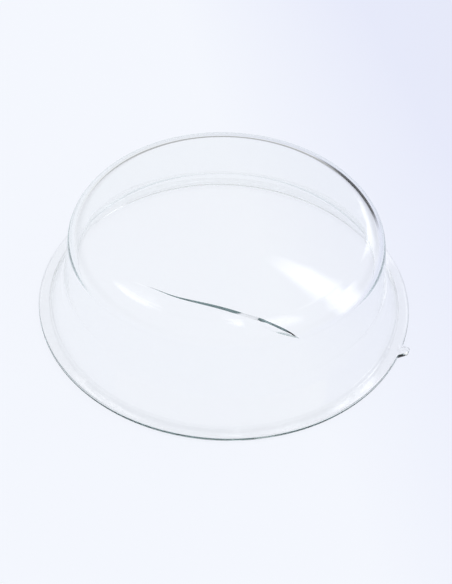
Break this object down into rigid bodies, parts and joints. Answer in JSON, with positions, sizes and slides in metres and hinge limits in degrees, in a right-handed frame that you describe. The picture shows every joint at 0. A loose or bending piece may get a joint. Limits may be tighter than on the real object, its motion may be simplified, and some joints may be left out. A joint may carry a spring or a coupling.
{
  "type": "washing machine door glass",
  "caption": "Clear pressed glass bowl for a front-loading washing machine's door, with a flat crown, a flared wall, a round flange and a locating lug on its rim.",
  "frame": {"origin": "on the bowl's axis, in the plane of the flange's underside", "axes": "+Z along the bowl's axis from the flange to the crown, -Y towards the lap mark on the crown's underside, +X towards the rim's lug"},
  "size_m": [0.347, 0.34, 0.093],
  "materials": {
    "clear_glass": "clear, fire polished"
  },
  "bodies": {
    "root": {"glass_bowl": "clear_glass"}
  },
  "joints": []
}
